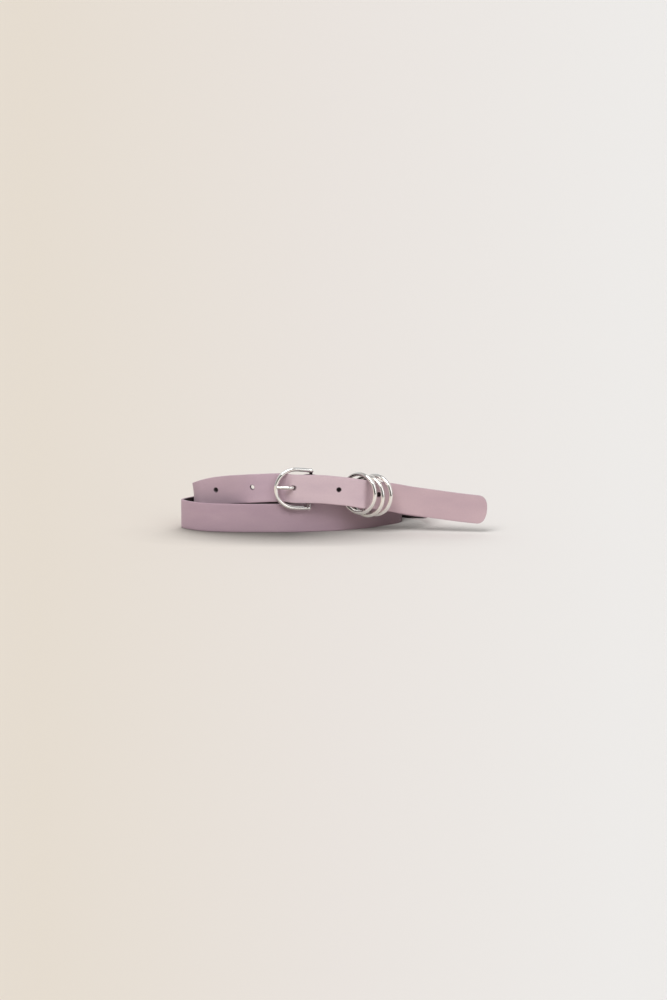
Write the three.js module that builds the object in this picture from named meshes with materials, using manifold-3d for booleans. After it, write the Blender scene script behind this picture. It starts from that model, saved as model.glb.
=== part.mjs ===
// A narrow leather belt, buckled, wound twice round into a loose coil and stood on its edge.
// Millimetres, +Z up, +X along the belt's front run, +Y away from the front.
// The origin is on the ground, under the middle of the whole.
import * as THREE from 'three';
import { mergeVertices } from 'three/addons/utils/BufferGeometryUtils.js';
import Module from 'manifold-3d';

const wasm = await Module();
wasm.setup();

// Leather strap
const strapWidth = 20;
const strapThick = 2;
const edgeBevel = 0.4;
const holeDiameter = 3.2;
const holePitch = 31;
const holeRise = 1;
const holesLeftOfTongue = 2;
const holesRightOfTongue = 2;
const tipRound = 7;
const tipPower = 2.4;
const flapLength = 20;
const flapShares = [0.35, 0.65, 1];
const backPlyStart = 0.1995;

// The coil that the strap is wound into
const coilLength = 216;
const coilDepth = 70;

// Wire rings
const ringDepth = 13.62498;
const ringWire = 3;
const ringOuter = Math.hypot(strapWidth, ringDepth) + ringWire * 2;
const ringCount = 3;
const ringPitch = 5.55;
const ringLean = 36;
const ringRoll = 8;
const ringStart = 17.2;
const ringBack = -1.7;
const ringBackStep = 0.6;
const ringSeat = 0.3;
const ringRise = 0.3;
const ringReach = 8;
const ringReachSteps = 80;

// Buckle
const buckleRoom = 10.5;
const buckleOuter = strapWidth + buckleRoom;
const buckleWire = 3;
const buckleArmReach = 38;
const buckleRoll = 3.9;
const buckleDrop = 1.2;
const barOffset = 10.2;
const barDiameter = 2.5;
const barKnob = 3.6;
const tongueWire = 2.6;
const tongueTipWire = 2.1;
const eyeletWall = 1.3;
const tongueBend = 6;
const tongueBendShare = 0.45;
const tongueBehind = 1.2;
const tongueAhead = 3.3;
const tongueLevel = 7;
const tongueRest = 1.4;
const tongueEnd = 0.7;
const tongueEndShare = 0.55;
const buckleAlong = -27.5;
const tongueHoleOffset = 0.5;

// Clearances
const fitGap = 0.3;
const plyGap = 0.3;
const plyDrop = 0.45;
const foldGap = 0.95;
const tongueClearance = 0.35;

// Mesh fineness
const wireSides = 12;
const ringSteps = 36;
const turnPerStep = 10;
const longestStep = 12;
const curveSamples = 1600;
const frameSteps = 44;
const tipShares = [0.03, 0.12, 0.28, 0.5, 0.75];
const tipOverlap = 0.9;

const plyPitch = strapThick + plyGap;
const midHeight = strapWidth / 2;

// Each row is one station of the strap's middle. along is a share of coilLength, back a share of
// coilDepth and lift, the height of the lower edge, a share of strapWidth.
const columns = { along: 0, back: 1, lift: 2 };

// From the rounded tip, through the rings and over the buckle's bar, to the inner left bend.
const frontRun = [
  [0.4935, -0.057, 0.303],
  [0.4720, -0.05, 0.325],
  [0.3940, -0.029, 0.41],
  [0.3160, -0.007, 0.515],
  [0.2385, 0.009, 0.625],
  [0.1995, 0.014, 0.7],
  [0.1500, 0.013, 0.775],
  [0.1240, 0.007, 0.818],
  [0.1110, -0.012, 0.845],
  [0.1020, -0.048, 0.87],
  [0.0935, -0.078, 0.897],
  [0.0800, -0.088, 0.925],
  [0.0440, -0.091, 0.985],
  [0.0046, -0.092, 1.03],
  [-0.0340, -0.093, 1.07],
  [-0.0764, -0.094, 1.0875],
  [-0.1100, -0.094, 1.09],
  [-0.1260, -0.09, 1.09],
  [-0.1370, -0.078, 1.09],
  [-0.1480, -0.05, 1.09],
  [-0.1590, -0.024, 1.09],
  [-0.1720, -0.012, 1.09],
  [-0.1990, -0.009, 1.085],
  [-0.2300, -0.006, 1.07],
  [-0.2600, 0.004, 1.05],
  [-0.2760, 0.024, 1.03],
  [-0.2920, 0.056, 1],
  [-0.3150, 0.108, 0.958],
  [-0.3400, 0.162, 0.91],
  [-0.3650, 0.208, 0.855],
  [-0.3900, 0.244, 0.8],
  [-0.4180, 0.276, 0.715],
  [-0.4400, 0.303, 0.625],
];

// Round the inner left bend, along the back and down to the ground, to the inner right bend.
const innerBack = [
  [-0.4556, 0.364, 0.52],
  [-0.4454, 0.436, 0.47],
  [-0.4167, 0.514, 0.4],
  [-0.3519, 0.63, 0.24],
  [-0.2315, 0.745, 0.06],
  [-0.0926, 0.825, 0],
  [0.0556, 0.845, 0],
  [0.1481, 0.825, 0],
  [0.1970, 0.743, 0],
  [0.2176, 0.629, 0],
];

// The lower front run, from the inner right bend to the outer left bend.
const lowerRun = [
  [0.2120, 0.543, 0],
  [0.1995, 0.480, 0],
  [0.1606, 0.371, 0],
  [0.1218, 0.266, 0],
  [0.0829, 0.194, 0],
  [0.0440, 0.134, 0],
  [0.0180, 0.097, 0],
  [-0.0343, 0.057, 0],
  [-0.0731, 0.034, 0],
  [-0.1120, 0.011, 0],
  [-0.1759, 0, 0],
  [-0.2731, 0, 0],
  [-0.3380, 0.009, 0],
  [-0.3843, 0.029, 0],
  [-0.4259, 0.066, 0],
  [-0.4640, 0.140, 0],
  [-0.4861, 0.207, 0],
];

// Round the outer left bend, along the back, and up round the outer right bend.
const outerBack = [
  [-0.4963, 0.274, 0],
  [-0.4880, 0.337, 0],
  [-0.4616, 0.437, 0],
  [-0.4167, 0.593, 0],
  [-0.3519, 0.743, 0],
  [-0.2315, 0.88, 0],
  [-0.0926, 0.965, 0],
  [0.0556, 1, 0],
  [0.1574, 0.936, 0],
  [0.2315, 0.814, 0],
  [0.2731, 0.7, 0.05],
  [0.2944, 0.571, 0.13],
  [0.2990, 0.443, 0.23],
  [0.2917, 0.321, 0.33],
  [0.2731, 0.214, 0.42],
  [0.2454, 0.129, 0.515],
  [0.2200, 0.077, 0.6],
];

// Turns a table's rows into points at the middle of the strap's lower edge.
function stations(rows) {
  return rows.map(row => new THREE.Vector3(
    row[columns.along] * coilLength,
    row[columns.back] * coilDepth,
    row[columns.lift] * strapWidth,
  ));
}

// Samples a smooth curve closely where it turns and loosely where it runs straight.
function sampleCurve(points) {
  const curve = new THREE.CatmullRomCurve3(points, false, 'centripetal');
  const spans = points.length - 1;
  const samples = [];
  for (let span = 0; span < spans; span++) {
    const start = curve.getTangent(span / spans);
    const middle = curve.getTangent((span + 0.5) / spans);
    const end = curve.getTangent((span + 1) / spans);
    const turn = THREE.MathUtils.radToDeg(start.angleTo(middle) + middle.angleTo(end));
    const reach = points[span].distanceTo(points[span + 1]);
    const steps = Math.max(1, Math.ceil(turn / turnPerStep), Math.ceil(reach / longestStep));
    for (let step = 0; step < steps; step++) {
      const t = (span + step / steps) / spans;
      samples.push({ point: curve.getPoint(t), tangent: curve.getTangent(t) });
    }
  }
  samples.push({ point: curve.getPoint(1), tangent: curve.getTangent(1) });
  for (const sample of samples) {
    sample.point.z = Math.max(0, sample.point.z);
  }
  return samples;
}

const frontCurve = new THREE.CatmullRomCurve3(stations(frontRun), false, 'centripetal');
const frontSamples = frontCurve.getSpacedPoints(curveSamples);

// The front run's point at a place along X, on the strap's lower edge.
function frontAt(along) {
  let best = frontSamples[0];
  for (const point of frontSamples) {
    if (Math.abs(point.x - along) < Math.abs(best.x - along)) best = point;
  }
  return best.clone();
}

// The level direction that points to the back of the front run, at a place along X.
function frontBackward(along, reach = 1) {
  const run = frontAt(along - reach).sub(frontAt(along + reach));
  return new THREE.Vector3(run.y, -run.x, 0).normalize();
}

// The buckle's bar stands behind the front run and inside the fold of the strap's other end.
const barAlong = buckleAlong + barOffset;
const foldRadius = barDiameter / 2 + foldGap + strapThick / 2;
const barFront = frontAt(barAlong);
const barBack = barFront.y + plyPitch + foldRadius;
const bar = new THREE.Vector3(barAlong, barBack, barFront.z + midHeight - buckleDrop);
const tongueHigh = barFront.z + midHeight + holeRise;
const rollAngle = THREE.MathUtils.degToRad(buckleRoll);
const eyeletAlong = bar.x + (tongueHigh - bar.z) * Math.tan(rollAngle);

// The strap's buckle end lies behind the front run, one ply further back.
function backPly() {
  const fromAlong = backPlyStart * coilLength;
  const rows = stations(frontRun).filter(p => p.x <= fromAlong && p.x > barAlong + foldRadius * 2);
  return rows.map(row => {
    const point = row.clone().addScaledVector(frontBackward(row.x), plyPitch);
    point.z -= plyDrop;
    return point;
  });
}

// The fold round the bar, then the short flap that lies behind the buckle end.
function foldAndFlap() {
  const points = [];
  const steps = 6;
  for (let i = 0; i <= steps; i++) {
    const angle = Math.PI * i / steps;
    points.push(new THREE.Vector3(
      bar.x - Math.sin(angle) * foldRadius,
      bar.y - Math.cos(angle) * foldRadius,
      barFront.z - plyDrop * (1 + i / steps),
    ));
  }
  for (const share of flapShares) {
    const along = barAlong + flapLength * share;
    const point = frontAt(along).addScaledVector(frontBackward(along), plyPitch * 2);
    point.z -= plyDrop * 2;
    points.push(point);
  }
  return points;
}

// The strap's half width at a distance from its rounded tip.
function halfWidthAt(distance) {
  const inside = Math.max(0, 1 - distance / tipRound);
  return midHeight * Math.pow(1 - Math.pow(inside, tipPower), 1 / tipPower);
}

// The corners of the strap's section, as shares that the bevel trims.
function sectionCorners(halfWidth) {
  const t = strapThick / 2;
  const b = Math.min(edgeBevel, halfWidth / 2);
  return [
    [-t, -halfWidth + b], [-t + b, -halfWidth], [t - b, -halfWidth], [t, -halfWidth + b],
    [t, halfWidth - b], [t - b, halfWidth], [-t + b, halfWidth], [-t, halfWidth - b],
  ];
}

// A closed solid through a row of sections with equally many corners.
function loft(sections) {
  const sides = sections[0].length;
  const positions = sections.flat().flatMap(p => [p.x, p.y, p.z]);
  const index = [];
  for (let ring = 0; ring + 1 < sections.length; ring++) {
    for (let side = 0; side < sides; side++) {
      const a = ring * sides + side;
      const b = ring * sides + (side + 1) % sides;
      index.push(a, b, b + sides, a, b + sides, a + sides);
    }
  }
  const last = (sections.length - 1) * sides;
  for (let side = 1; side + 1 < sides; side++) {
    index.push(0, side + 1, side);
    index.push(last, last + side, last + side + 1);
  }
  const geometry = new THREE.BufferGeometry();
  geometry.setAttribute('position', new THREE.Float32BufferAttribute(positions, 3));
  geometry.setIndex(index);
  return geometry;
}

function signedVolume(geometry) {
  const p = geometry.attributes.position;
  const index = geometry.index.array;
  const [a, b, c] = [new THREE.Vector3(), new THREE.Vector3(), new THREE.Vector3()];
  let volume = 0;
  for (let i = 0; i < index.length; i += 3) {
    a.fromBufferAttribute(p, index[i]);
    b.fromBufferAttribute(p, index[i + 1]);
    c.fromBufferAttribute(p, index[i + 2]);
    volume += a.dot(b.cross(c)) / 6;
  }
  return volume;
}

// Turns a closed geometry into a solid, with its faces pointing out.
function toSolid(geometry) {
  const bare = geometry.clone();
  bare.deleteAttribute('normal');
  bare.deleteAttribute('uv');
  const merged = mergeVertices(bare, 1e-4);
  const triVerts = Uint32Array.from(merged.index.array);
  if (signedVolume(merged) < 0) {
    for (let i = 0; i < triVerts.length; i += 3) {
      [triVerts[i + 1], triVerts[i + 2]] = [triVerts[i + 2], triVerts[i + 1]];
    }
  }
  const vertProperties = Float32Array.from(merged.attributes.position.array);
  return new wasm.Manifold(new wasm.Mesh({ numProp: 3, vertProperties, triVerts }));
}

function toGeometry(solid) {
  const mesh = solid.getMesh();
  const geometry = new THREE.BufferGeometry();
  geometry.setAttribute('position', new THREE.BufferAttribute(mesh.vertProperties, 3));
  geometry.setIndex(new THREE.BufferAttribute(mesh.triVerts, 1));
  return geometry;
}

// A round bar through points, each with its own radius.
function taperedBar(points, radii) {
  const curve = new THREE.CatmullRomCurve3(points, false, 'centripetal');
  const spans = points.length - 1;
  const stepsPerSpan = 2;
  const sections = [];
  for (let i = 0; i <= spans * stepsPerSpan; i++) {
    const t = i / (spans * stepsPerSpan);
    const middle = curve.getPoint(t);
    const tangent = curve.getTangent(t);
    const up = new THREE.Vector3(0, 0, 1);
    const side = new THREE.Vector3().crossVectors(tangent, up).normalize();
    const top = new THREE.Vector3().crossVectors(side, tangent);
    const span = Math.min(spans - 1, Math.floor(t * spans));
    const radius = THREE.MathUtils.lerp(radii[span], radii[span + 1], t * spans - span);
    const section = [];
    for (let k = 0; k < wireSides; k++) {
      const angle = 2 * Math.PI * k / wireSides;
      section.push(middle.clone()
        .addScaledVector(side, Math.cos(angle) * radius)
        .addScaledVector(top, Math.sin(angle) * radius));
    }
    sections.push(section);
  }
  return loft(sections);
}

// The strap's whole route, from its tip to the end of the flap.
function strapRoute() {
  return [
    ...stations(frontRun),
    ...stations(innerBack),
    ...stations(lowerRun),
    ...stations(outerBack),
    ...backPly(),
    ...foldAndFlap(),
  ];
}

function strapBody() {
  const samples = sampleCurve(strapRoute());
  const first = samples[0];
  const tipSteps = tipShares.map(share => share * tipRound);
  const tipSections = tipSteps.map(distance => ({
    point: first.point.clone().addScaledVector(first.tangent, distance),
    tangent: first.tangent,
    distance,
  }));
  const rest = samples.filter(s => s.point.distanceTo(first.point) > tipRound * tipOverlap);
  const sections = [...tipSections, ...rest].map(sample => {
    const halfWidth = halfWidthAt(sample.distance ?? tipRound);
    const up = new THREE.Vector3(0, 0, 1);
    const tangent = sample.tangent;
    up.addScaledVector(tangent, -up.dot(tangent)).normalize();
    const side = new THREE.Vector3().crossVectors(tangent, up).normalize();
    const middle = sample.point.clone();
    middle.z += midHeight;
    return sectionCorners(halfWidth).map(([across, high]) => middle.clone()
      .addScaledVector(side, across)
      .addScaledVector(up, high));
  });
  return toSolid(loft(sections));
}

// A cutter for a punched hole, square to the front run at a distance along it from the tongue.
function holeCutter(distance) {
  const lengths = frontCurve.getLengths(curveSamples);
  const total = lengths[lengths.length - 1];
  const points = frontSamples;
  let tongueAt = 0;
  for (let i = 0; i < points.length; i++) {
    if (points[i].x >= tongueHoleAlong) tongueAt = total * i / (points.length - 1);
  }
  const u = (tongueAt + distance) / total;
  const point = frontCurve.getPointAt(u);
  const tangent = frontCurve.getTangentAt(u);
  const backward = new THREE.Vector3(-tangent.y, tangent.x, 0).normalize();
  const radius = holeDiameter / 2;
  const cutter = new THREE.CylinderGeometry(radius, radius, strapThick * 2, wireSides);
  const turn = new THREE.Quaternion().setFromUnitVectors(new THREE.Vector3(0, 1, 0), backward);
  cutter.applyQuaternion(turn);
  cutter.translate(point.x, point.y, point.z + midHeight + holeRise);
  return toSolid(cutter);
}

// The frame leans so that its round side lies in front of the strap and its bar behind.
const buckleRadius = (buckleOuter - buckleWire) / 2;
const bellyAlong = buckleAlong - buckleRadius;
const seatReach = Math.sqrt(buckleRadius ** 2 - midHeight ** 2) - buckleWire / 2;
const seatAlong = buckleAlong - seatReach;
const seatBack = frontAt(seatAlong).y - strapThick / 2 - fitGap - buckleWire / 2;
const frameLean = Math.atan2(bar.y - seatBack, barAlong - seatAlong);
const bellyBack = bar.y - Math.tan(frameLean) * (barAlong - bellyAlong);
const tongueHoleAlong = buckleAlong - tongueHoleOffset;
const barDirection = new THREE.Vector3(
  Math.sin(rollAngle) * Math.cos(frameLean),
  Math.sin(rollAngle) * Math.sin(frameLean),
  Math.cos(rollAngle),
);

// Turns a geometry that stands along Y so that it stands along the bar.
function alongBar(geometry) {
  const turn = new THREE.Quaternion().setFromUnitVectors(new THREE.Vector3(0, 1, 0), barDirection);
  geometry.applyQuaternion(turn);
  return geometry;
}

// A point of the frame from its place in the frame's own plane, measured from the round's centre.
function framePoint(right, high) {
  const fromBar = right - barOffset;
  const level = fromBar * Math.cos(rollAngle) + high * Math.sin(rollAngle);
  const upright = high * Math.cos(rollAngle) - fromBar * Math.sin(rollAngle);
  return new THREE.Vector3(
    bar.x + level * Math.cos(frameLean),
    bar.y + level * Math.sin(frameLean),
    bar.z + upright,
  );
}

function buckleFrame() {
  const points = [];
  const roundSteps = 10;
  const armSteps = 3;
  const armHigh = right => buckleRadius * Math.sqrt(1 - (right / buckleArmReach) ** 2);
  for (let i = armSteps; i > 0; i--) {
    const right = barOffset * i / armSteps;
    points.push(framePoint(right, armHigh(right)));
  }
  for (let i = 0; i <= roundSteps; i++) {
    const angle = Math.PI * i / roundSteps;
    points.push(framePoint(-Math.sin(angle) * buckleRadius, Math.cos(angle) * buckleRadius));
  }
  for (let i = 1; i <= armSteps; i++) {
    const right = barOffset * i / armSteps;
    points.push(framePoint(right, -armHigh(right)));
  }
  const curve = new THREE.CatmullRomCurve3(points, false, 'centripetal');
  const wire = new THREE.Shape();
  wire.absarc(0, 0, buckleWire / 2, 0, 2 * Math.PI, false);
  const arc = new THREE.ExtrudeGeometry(wire, {
    steps: frameSteps, extrudePath: curve, curveSegments: wireSides / 2, bevelEnabled: false,
  });
  const barHigh = armHigh(barOffset);
  const rod = new THREE.CylinderGeometry(barDiameter / 2, barDiameter / 2, barHigh * 2, wireSides);
  alongBar(rod).translate(bar.x, bar.y, bar.z);
  let solid = toSolid(arc).add(toSolid(rod));
  for (const end of [-1, 1]) {
    const knob = new THREE.SphereGeometry(barKnob / 2, wireSides, 8);
    const middle = bar.clone().addScaledVector(barDirection, end * barHigh);
    alongBar(knob).translate(middle.x, middle.y, middle.z);
    solid = solid.add(toSolid(knob));
  }
  return solid;
}

// The tongue leaves its eyelet on the bar, passes out through the strap and rests on the frame.
function tongueShank(extra) {
  const front = along => frontAt(along).y;
  const belly = bellyBack - buckleWire / 2 - fitGap - tongueTipWire / 2;
  const behind = front(buckleAlong + tongueBehind) + strapThick / 2 + fitGap + tongueWire / 2;
  const ahead = front(buckleAlong - tongueAhead) - strapThick / 2 - fitGap - tongueWire / 2;
  const high = tongueHigh;
  const bend = bar.y + (behind - bar.y) * tongueBendShare;
  const points = [
    new THREE.Vector3(eyeletAlong - barDiameter / 2 - fitGap - eyeletWall / 2, bar.y, high),
    new THREE.Vector3(buckleAlong + tongueBend, bend, high),
    new THREE.Vector3(buckleAlong + tongueBehind, behind, high),
    new THREE.Vector3(buckleAlong - tongueAhead, Math.min(ahead, belly), high),
    new THREE.Vector3(buckleAlong - tongueLevel, belly, high),
    new THREE.Vector3(bellyAlong + tongueRest, belly, high),
    new THREE.Vector3(bellyAlong + tongueEnd, belly, high),
  ];
  const r = tongueWire / 2 + extra;
  const tip = tongueTipWire / 2 + extra;
  return toSolid(taperedBar(points, [eyeletWall, r, r, r, r, tip, tip * tongueEndShare]));
}

function tongueEyelet() {
  const inner = barDiameter / 2 + fitGap;
  const outer = inner + eyeletWall;
  const half = tongueWire / 2;
  const profile = [
    [inner, -half], [outer, -half], [outer, half], [inner, half], [inner, -half],
  ].map(([x, y]) => new THREE.Vector2(x, y));
  const ring = new THREE.LatheGeometry(profile, wireSides * 2);
  ring.rotateX(Math.PI / 2);
  ring.translate(eyeletAlong, bar.y, tongueHigh);
  return toSolid(ring);
}

function tongue() {
  const clear = new THREE.CylinderGeometry(
    barDiameter / 2 + fitGap, barDiameter / 2 + fitGap, strapWidth, wireSides * 2);
  alongBar(clear).translate(bar.x, bar.y, bar.z);
  return tongueShank(0).add(tongueEyelet()).subtract(toSolid(clear));
}

// The slot that lets the tongue's eyelet through the fold.
function foldSlot() {
  const high = tongueWire + 2 * tongueClearance;
  const left = bar.x - foldRadius - strapThick * 1.5;
  const right = bar.x + barDiameter / 2 + fitGap + eyeletWall + tongueClearance;
  const front = barFront.y + strapThick / 2 + plyGap / 2;
  const back = bar.y + foldRadius + strapThick * 1.5;
  const slot = new THREE.BoxGeometry(right - left, back - front, high);
  slot.translate((left + right) / 2, (front + back) / 2, tongueHigh);
  return toSolid(slot);
}

function strap() {
  let solid = strapBody();
  const numbers = [];
  for (let i = 1; i <= holesLeftOfTongue; i++) numbers.push(i);
  for (let i = 1; i <= holesRightOfTongue; i++) numbers.push(-i);
  for (const number of numbers) {
    solid = solid.subtract(holeCutter(number * holePitch));
  }
  return solid.subtract(tongueShank(tongueClearance)).subtract(foldSlot());
}

// A wire ring that hangs on the strap's upper edge, leaning so that its right side is in front.
function ringAt(number) {
  const radius = (ringOuter - ringWire) / 2;
  const along = ringStart + number * ringPitch;
  const back = ringBack + number * ringBackStep;
  const geometry = new THREE.TorusGeometry(radius, ringWire / 2, wireSides, ringSteps);
  const lean = THREE.MathUtils.degToRad(ringLean);
  geometry.rotateX(Math.PI / 2);
  geometry.rotateZ(-lean);
  geometry.rotateY(THREE.MathUtils.degToRad(ringRoll));
  const crossing = crossingAlong(along, back, lean);
  const offset = (crossing - along) / Math.cos(lean);
  const chord = Math.sqrt((radius - ringWire / 2) ** 2 - (Math.abs(offset) + plyPitch) ** 2);
  const edge = frontAt(crossing).z + strapWidth;
  geometry.translate(along, back, edge + ringSeat + number * ringRise - chord);
  return geometry;
}

// Where the ring's plane crosses the middle of the two plies.
function crossingAlong(along, back, lean) {
  let best = along;
  let least = Infinity;
  for (let shift = -ringReach; shift <= ringReach; shift += ringReach / ringReachSteps) {
    const x = along + shift * Math.cos(lean);
    const y = back - shift * Math.sin(lean);
    const miss = Math.abs(frontAt(x).y + plyPitch / 2 - y);
    if (miss < least) {
      least = miss;
      best = x;
    }
  }
  return best;
}

const leather = new THREE.MeshStandardMaterial({ color: 0xb8959f, roughness: 0.7, metalness: 0 });
const steel = new THREE.MeshStandardMaterial({ color: 0xd9d6cf, roughness: 0.2, metalness: 1 });

function named(name, geometry, material) {
  const mesh = new THREE.Mesh(geometry, material);
  mesh.name = name;
  return mesh;
}

const belt = new THREE.Group();
belt.name = 'belt';
belt.add(named('strap', toGeometry(strap()), leather));
belt.add(named('buckle_frame', toGeometry(buckleFrame()), steel));
belt.add(named('buckle_tongue', toGeometry(tongue()), steel));
for (let number = 0; number < ringCount; number++) {
  const solid = toSolid(ringAt(number));
  belt.add(named(`ring_${number + 1}`, toGeometry(solid), steel));
}

const box = new THREE.Box3().setFromObject(belt);
const centre = box.getCenter(new THREE.Vector3());
belt.position.set(-centre.x, -centre.y, -box.min.z);

export default belt;
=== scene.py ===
"""A lilac leather belt, buckled, wound twice round and stood on its edge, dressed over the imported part.

Named lengths are in millimetres, as in the part, unless a comment says metres. Meshes are in metres.
"""

import math

import bmesh
import bpy
import numpy as np
from mathutils import Matrix, Vector
from mathutils.kdtree import KDTree


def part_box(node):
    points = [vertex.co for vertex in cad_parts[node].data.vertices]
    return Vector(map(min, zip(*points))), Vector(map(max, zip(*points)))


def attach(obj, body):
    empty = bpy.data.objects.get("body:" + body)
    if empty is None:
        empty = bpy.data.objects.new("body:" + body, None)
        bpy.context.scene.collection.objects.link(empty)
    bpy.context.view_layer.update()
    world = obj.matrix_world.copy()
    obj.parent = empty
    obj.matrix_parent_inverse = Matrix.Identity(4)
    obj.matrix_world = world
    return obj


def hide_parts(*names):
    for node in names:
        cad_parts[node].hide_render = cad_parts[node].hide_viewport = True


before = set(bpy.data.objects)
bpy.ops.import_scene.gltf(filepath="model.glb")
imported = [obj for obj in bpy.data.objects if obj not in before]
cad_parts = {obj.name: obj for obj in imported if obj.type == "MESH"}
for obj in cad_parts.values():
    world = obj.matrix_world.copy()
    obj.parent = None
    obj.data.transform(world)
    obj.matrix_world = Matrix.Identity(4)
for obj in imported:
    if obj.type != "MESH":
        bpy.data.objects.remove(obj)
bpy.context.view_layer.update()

MM = 0.001
RIGHT = Vector((1, 0, 0))
BACKWARD = Vector((0, 1, 0))
UP = Vector((0, 0, 1))

# Leather strap
STRAP_WIDTH = 20.0
STRAP_THICK = 2.0
EDGE_ROUND = 0.45
HOLE_DIAMETER = 3.2
HOLE_PITCH = 31.0
HOLE_RISE = 1.0
HOLES_LEFT_OF_TONGUE = 2
HOLES_RIGHT_OF_TONGUE = 2
TIP_ROUND = 7.0
TIP_POWER = 2.4
FLAP_LENGTH = 20.0
FLAP_SHARES = (0.35, 0.65, 1)
BACK_PLY_START = 0.1995

# The coil that the strap is wound into
COIL_LENGTH = 216.0
COIL_DEPTH = 70.0

# Wire rings. A seam's place is a share of the way round, and its depth a share of the wire's radius
RING_OUTER = 30.2
RING_WIRE = 3.0
RING_COUNT = 3
RING_PITCH = 5.55
RING_LEAN = math.radians(36)
RING_ROLL = math.radians(8)
RING_START = 17.2
RING_BACK = -1.7
RING_BACK_STEP = 0.6
RING_SEAT = 0.3
RING_RISE = 0.3
RING_REACH = 8.0
RING_REACH_STEP = 0.1
SEAM_PLACE = 0.36
SEAM_SHIFT = 0.013
SEAM_DEPTH = 0.05

# Buckle
BUCKLE_OUTER = 30.5
BUCKLE_WIRE = 3.0
BUCKLE_ARM_REACH = 38.0
BUCKLE_ROLL = math.radians(3.9)
BUCKLE_DROP = 1.2
BAR_OFFSET = 10.2
BAR_DIAMETER = 2.5
BAR_KNOB = 3.6
TONGUE_WIRE = 2.6
TONGUE_TIP_WIRE = 2.1
EYELET_WALL = 1.3
TONGUE_BEND = 6
TONGUE_BEND_SHARE = 0.45
TONGUE_BEHIND = 1.2
TONGUE_AHEAD = 3.3
TONGUE_LEVEL = 7
TONGUE_REST = 1.4
TONGUE_END = 0.7
TONGUE_END_SHARE = 0.55
BUCKLE_ALONG = -27.5
TONGUE_HOLE_OFFSET = 0.5

# Clearances
FIT_GAP = 0.3
PLY_GAP = 0.3
PLY_DROP = 0.45
FOLD_GAP = 0.95
TONGUE_CLEARANCE = 0.35
SLOT_OVERRUN = 3.0

# Mesh fineness
SECTION_STEP = 1.1
ACROSS_STEP = 1.25
FRONT_SAMPLE_STEP = 0.15
SPAN_SAMPLES = 40
EDGE_STEPS = 4
TIP_STEPS = 10
TIP_OVERLAP = 0.9
FOLD_STEPS = 6
WIRE_SIDES = 28
RING_STEPS = 144
ARM_STEPS = 14
BUCKLE_STEPS = 56
SHANK_STEPS = 8
CYLINDER_SIDES = 48
SPHERE_SIDES = 32
SPHERE_STEPS = 20
SHARP_ANGLE = math.radians(50)
MERGE_METRES = 1e-7

# The strap's point attributes: how far the edge tone reaches, how far the holes' dark reaches round them and
# along their axes (dark raw hole walls, and painted shade on the plies seen through the holes), where the flesh
# side starts and how it spreads as shares of half the thickness, and how a point's own section is found among
# those near it
EDGE_REACH = 1.2
HOLE_DARK_REACH = 0.8
HOLE_DARK_DEPTH = STRAP_THICK * 4
FLESH_START = 0.35
FLESH_SPREAD = 0.6
NEAREST_SECTIONS = 24
OUTSIDE_WEIGHT = 4

# The leather's tone by the distance from the tip in metres, with painted light and shade in it: painted light
# on the front run between the buckle and the rings, and painted shade on the lower run's right end, under the
# front run and the rings
LEATHER_END = 0.9
LEATHER_TONES_AND_PAINTED_LIGHT = [
    (0.0, (203, 176, 182)),
    (0.065, (204, 177, 183)),
    # Painted light: the front run between the rings and the buckle
    (0.09, (218, 194, 201)),
    (0.138, (214, 191, 198)),
    (0.15, (200, 174, 187)),
    (0.21, (195, 169, 180)),
    (0.34, (190, 163, 175)),
    # Painted shade: the lower run's right end, in the shadow of the front run and the rings
    (0.395, (152, 125, 133)),
    (0.428, (174, 147, 156)),
    (0.452, (190, 163, 175)),
    (LEATHER_END, (192, 165, 177)),
]
LEATHER_PORE = (150, 122, 134)
LEATHER_EDGE = (176, 146, 158)
FLESH_DARK = (28, 15, 15)
FLESH_PALE = (40, 28, 27)
# Dark raw hole walls, and painted shade on the plies seen through the holes
HOLE_WALL_AND_SHADE = (40, 22, 26)
METAL_WARM = (246, 241, 235)
METAL_COOL = (251, 250, 248)
MOTTLE_DEEP = (0.94, 0.93, 0.945, 1)
MOTTLE_PALE = (1.04, 1.04, 1.03, 1)

# Patterns: each scale is in repeats a metre, and the bump depths are in metres
MOTTLE_STRETCH = (0.35, 1, 1)
MOTTLE_SCALE = 75
FIBRE_SCALE = 900
SUEDE_SCALE = 420
GRAIN_SCALE = 1500
GRAIN_SHARE = 0.7
GRAIN_STRENGTH = 0.22
GRAIN_DEPTH = 0.00012
CAST_SCALE = 160
BRUSH_STRETCH = (1, 1, 7)
BRUSH_SCALE = 1400
BRUSH_STRENGTH = 0.05
BRUSH_DEPTH = 0.00005

# The values of a noise or an attribute that a ramp spreads out
MIDDLE_BAND = (0.35, 0.65)
WIDE_BAND = (0.3, 0.7)
BRUSH_BAND = (0.35, 0.75)
EDGE_BAND = (0.3, 1)
HOLE_DARK_BAND = (0.45, 1)

# How strongly each layer shows, and how the surfaces shine
PORE_SHOW = (0, 0.09)
EDGE_SHOW = (0, 0.35)
HOLE_DARK_SHOW = (0, 0.85)
LEATHER_ROUGH = (0.50, 0.60)
LEATHER_SPECULAR = 0.35
LEATHER_SHEEN = 0.08
LEATHER_SHEEN_ROUGH = 0.5
METAL_ROUGH = (0.10, 0.20)

# Camera: the picture's height in pixels and its scale at the object, the place that is looked at in the
# stations' frame, and the distances in metres
FRAME_HEIGHT = 1000
MM_PER_PIXEL = 0.70
CAMERA_AIM = (-0.7, 0, 22.8)
CAMERA_RISE = math.radians(10)
CAMERA_DISTANCE = 2.5
CAMERA_FAR = 200
SENSOR = 36.0

# Floor, in metres: its tones fan out from below the camera, by X over the distance
FLOOR_REACH = 60.0
FLOOR_TONES = [
    (0.0, (230, 221, 209)),
    (0.5, (234, 228, 223)),
    (1.0, (238, 236, 234)),
]
FLOOR_FAN = (-0.085, 0.085)
FLOOR_FAN_NEAREST = 1.2

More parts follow.
